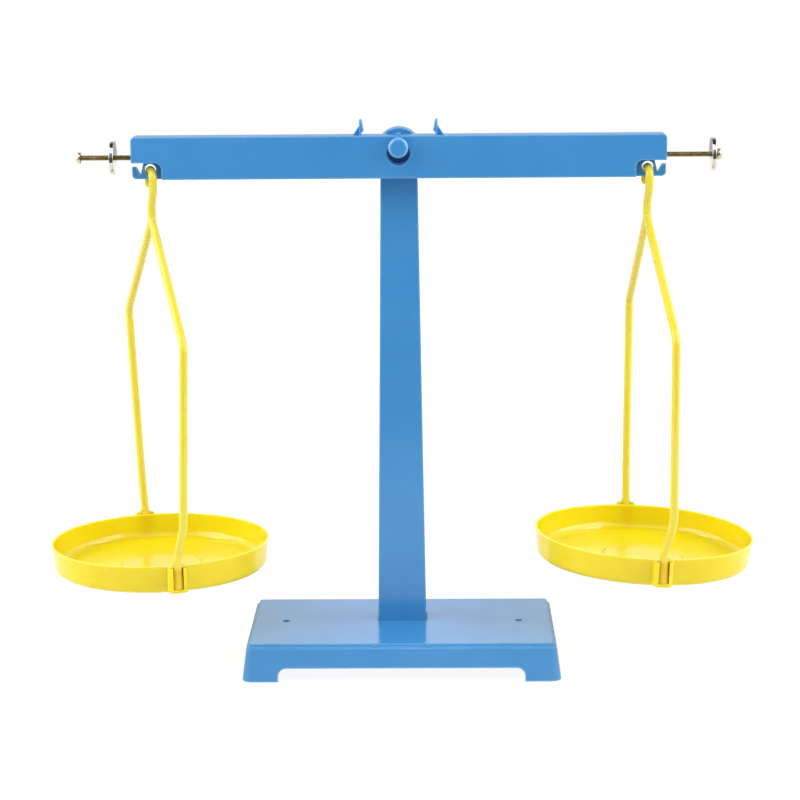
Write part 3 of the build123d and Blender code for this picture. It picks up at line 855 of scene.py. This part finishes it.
def piece_from_grid(name, points, body, node, material, ring=False):
    """A closed piece from points[row, column]; with ring, the last row joins the first."""
    rows, columns = points.shape[:2]
    index = np.arange(rows * columns).reshape(rows, columns)
    lower, upper = (index, np.roll(index, -1, axis=0)) if ring else (index[:-1], index[1:])
    corners = [lower, np.roll(lower, -1, axis=1), np.roll(upper, -1, axis=1), upper]
    faces = np.stack(corners, axis=-1).reshape(-1, 4)
    mesh = bpy.data.meshes.new(name)
    mesh.from_pydata(points.reshape(-1, 3).tolist(), [], faces.tolist())
    shape = bmesh.new()
    shape.from_mesh(mesh)
    bmesh.ops.remove_doubles(shape, verts=shape.verts, dist=SAME_POINT)
    bmesh.ops.recalc_face_normals(shape, faces=shape.faces)
    shape.to_mesh(mesh)
    shape.free()
    mesh.polygons.foreach_set("use_smooth", [True] * len(mesh.polygons))
    mesh.set_sharp_from_angle(angle=radians(SHARP_ANGLE))
    mesh.materials.append(material)
    piece = bpy.data.objects.new(name, mesh)
    bpy.context.scene.collection.objects.link(piece)
    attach(piece, body)
    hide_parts(node)
    print(name, len(mesh.polygons), "faces")


# %% [markdown]
# ## The balance screws
# Each is an M4 pan-head screw with a coarse thread, 0.7 mm from crest to crest. A thread can be
# made with a Screw modifier, but the head, the thread and the point are one skin on the real
# screw, so here they are one grid. Along the thread the radius is a wave of where the point is
# along the axis less how far it is round it, which winds the crests into a right-hand helix. The
# left screw is the right one turned half round, because a mirror would make its thread left-hand.

# %% Screw sizes
PITCH = 0.7 * MM
CREST = 2.0 * MM
ROOT = 1.57 * MM
THREAD_FLAT = 0.2  # how much of the thread's wave is cut off flat at the root and at the crest
POINT_TAPER = 0.35 * MM
HEAD_RADIUS = 4.0 * MM
DOME = 2.0 * MM  # how much of the head's length and radius its round top takes
EDGE = 0.2 * MM
WING_HALF = 0.48 * MM  # the cross recess: half a wing's width, half its span, and its depth
WING_REACH = 2.2 * MM
WING_DEPTH = 1.7 * MM
WING_WALL = 0.12 * MM  # how wide the slope at a wing's sides is, and the one at its ends
WING_RAMP = 0.5 * MM
ROUND = 96
STEPS_A_TURN, EDGE_STEPS, DOME_STEPS, TOP_STEPS = 6, 8, 16, 26
print("thread of", round((head_x - tip_x) / PITCH, 1), "turns")


# %% Screw outline
def screw_outline():
    """Rows of distance along x, radius and share of thread, from the point to the head's top.

    The shank narrows towards the point over one pitch. The head's edge is a quarter circle and
    its dome another: each one's radius times a sine goes one way and times a cosine the other.
    """
    turns = (head_x - tip_x) / PITCH
    along = np.linspace(tip_x, head_x, int(turns * STEPS_A_TURN))
    point = np.clip((along - tip_x) / PITCH, 0, 1)
    shank = np.stack([along, ROOT - POINT_TAPER * (1 - point), point], axis=1)
    bend = np.linspace(0, pi / 2, EDGE_STEPS)
    edge_x = head_x + EDGE - EDGE * np.cos(bend)
    edge = np.stack([edge_x, HEAD_RADIUS - EDGE + EDGE * np.sin(bend), 0 * bend], axis=1)
    swell = np.linspace(0, pi / 2, DOME_STEPS)
    dome_x = head_x + HEAD_LENGTH - DOME + DOME * np.sin(swell)
    dome = np.stack([dome_x, HEAD_RADIUS - DOME + DOME * np.cos(swell), 0 * swell], axis=1)
    inward = np.linspace(HEAD_RADIUS - DOME, 0, TOP_STEPS)[1:]
    top = np.stack([0 * inward + head_x + HEAD_LENGTH, inward, 0 * inward], axis=1)
    return np.concatenate([[[tip_x, 0, 0]], shank, [[head_x, CREST, 0]], edge, dome, top])


# %% Screws
def wing(across, along):
    """One bar of the cross recess: 1 within its width and span, sloping to 0 at sides and ends."""
    side = np.clip((WING_HALF - np.abs(across)) / WING_WALL + 0.5, 0, 1)
    return side * np.clip((WING_REACH - np.abs(along)) / WING_RAMP, 0, 1)


def screw_points():
    """Each row turned round the axis: radius plus the thread's wave, and the cross sunk in the top."""
    rows = screw_outline()
    x, radius, threaded = (rows[:, k, None] for k in range(3))
    angle = np.linspace(0, 2 * pi, ROUND, endpoint=False)[None, :]
    phase = (x / PITCH - angle / (2 * pi)) % 1
    wave = np.clip((1 - np.abs(2 * phase - 1) - THREAD_FLAT) / (1 - 2 * THREAD_FLAT), 0, 1)
    radius = radius + (CREST - ROOT) * threaded * wave
    y, z = radius * np.cos(angle), radius * np.sin(angle)
    outer_end = x > head_x + HEAD_LENGTH - DOME
    sunk = WING_DEPTH * np.maximum(wing(y, z), wing(z, y)) * outer_end
    return np.stack([x - sunk, y, z + SCREW_HEIGHT], axis=-1)


right_screw = screw_points()
left_screw = right_screw * np.array([-1.0, -1.0, 1.0])
for side, points in (("right", right_screw), ("left", left_screw)):
    piece_from_grid(
        f"{side}_threaded_screw",
        points,
        "beam",
        f"{side}_balance_screw",
        yellow_zinc,
    )

# %% [markdown]
# ## The balance discs
# A disc is turned from bar: two flat faces, a smooth rim with a small round on each edge, and a
# bore with a countersink at both ends. Its outline is a closed loop, so the grid is a ring, like a
# square-sided doughnut, and it has no poles.

# %% Discs
RIM_ROUND = 0.45 * MM
SINK = 0.5 * MM
BORE = 2.06 * MM
RIM_STEPS = 7
FINE_ROUND = 160


def disc_points(low_x, high_x, outer):
    """Two rounded and two cut corners in a loop, each point (x, radius), turned round the axis.

    The loop goes up the left edge to the rim, over it, down the right edge and back through the
    bore. A rounded corner is a quarter circle, so it stands in from the face by its radius times
    one less the sine, and down from the rim by its radius times one less the cosine.
    """
    falling = np.linspace(0, pi / 2, RIM_STEPS)
    rising = falling[::-1]
    left_x = low_x + RIM_ROUND * (1 - np.sin(rising))
    left_edge = np.stack([left_x, outer - RIM_ROUND * (1 - np.cos(rising))], axis=1)
    right_x = high_x - RIM_ROUND * (1 - np.sin(falling))
    right_edge = np.stack([right_x, outer - RIM_ROUND * (1 - np.cos(falling))], axis=1)
    bore = [
        [high_x, BORE + SINK],
        [high_x - SINK, BORE],
        [low_x + SINK, BORE],
        [low_x, BORE + SINK],
    ]
    loop = np.concatenate([left_edge, right_edge, bore])
    x, radius = loop[:, 0, None], loop[:, 1, None]
    angle = np.linspace(0, 2 * pi, FINE_ROUND, endpoint=False)[None, :]
    y, z = radius * np.cos(angle), radius * np.sin(angle)
    return np.stack([x + 0 * angle, y, z + SCREW_HEIGHT], axis=-1)


for side in ("left", "right"):
    low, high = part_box(f"{side}_balance_nut")
    points = disc_points(low[0], high[0], (high[2] - low[2]) / 2)
    piece_from_grid(
        f"{side}_turned_disc",
        points,
        f"{side}_nut",
        f"{side}_balance_nut",
        bright_nickel,
        ring=True,
    )
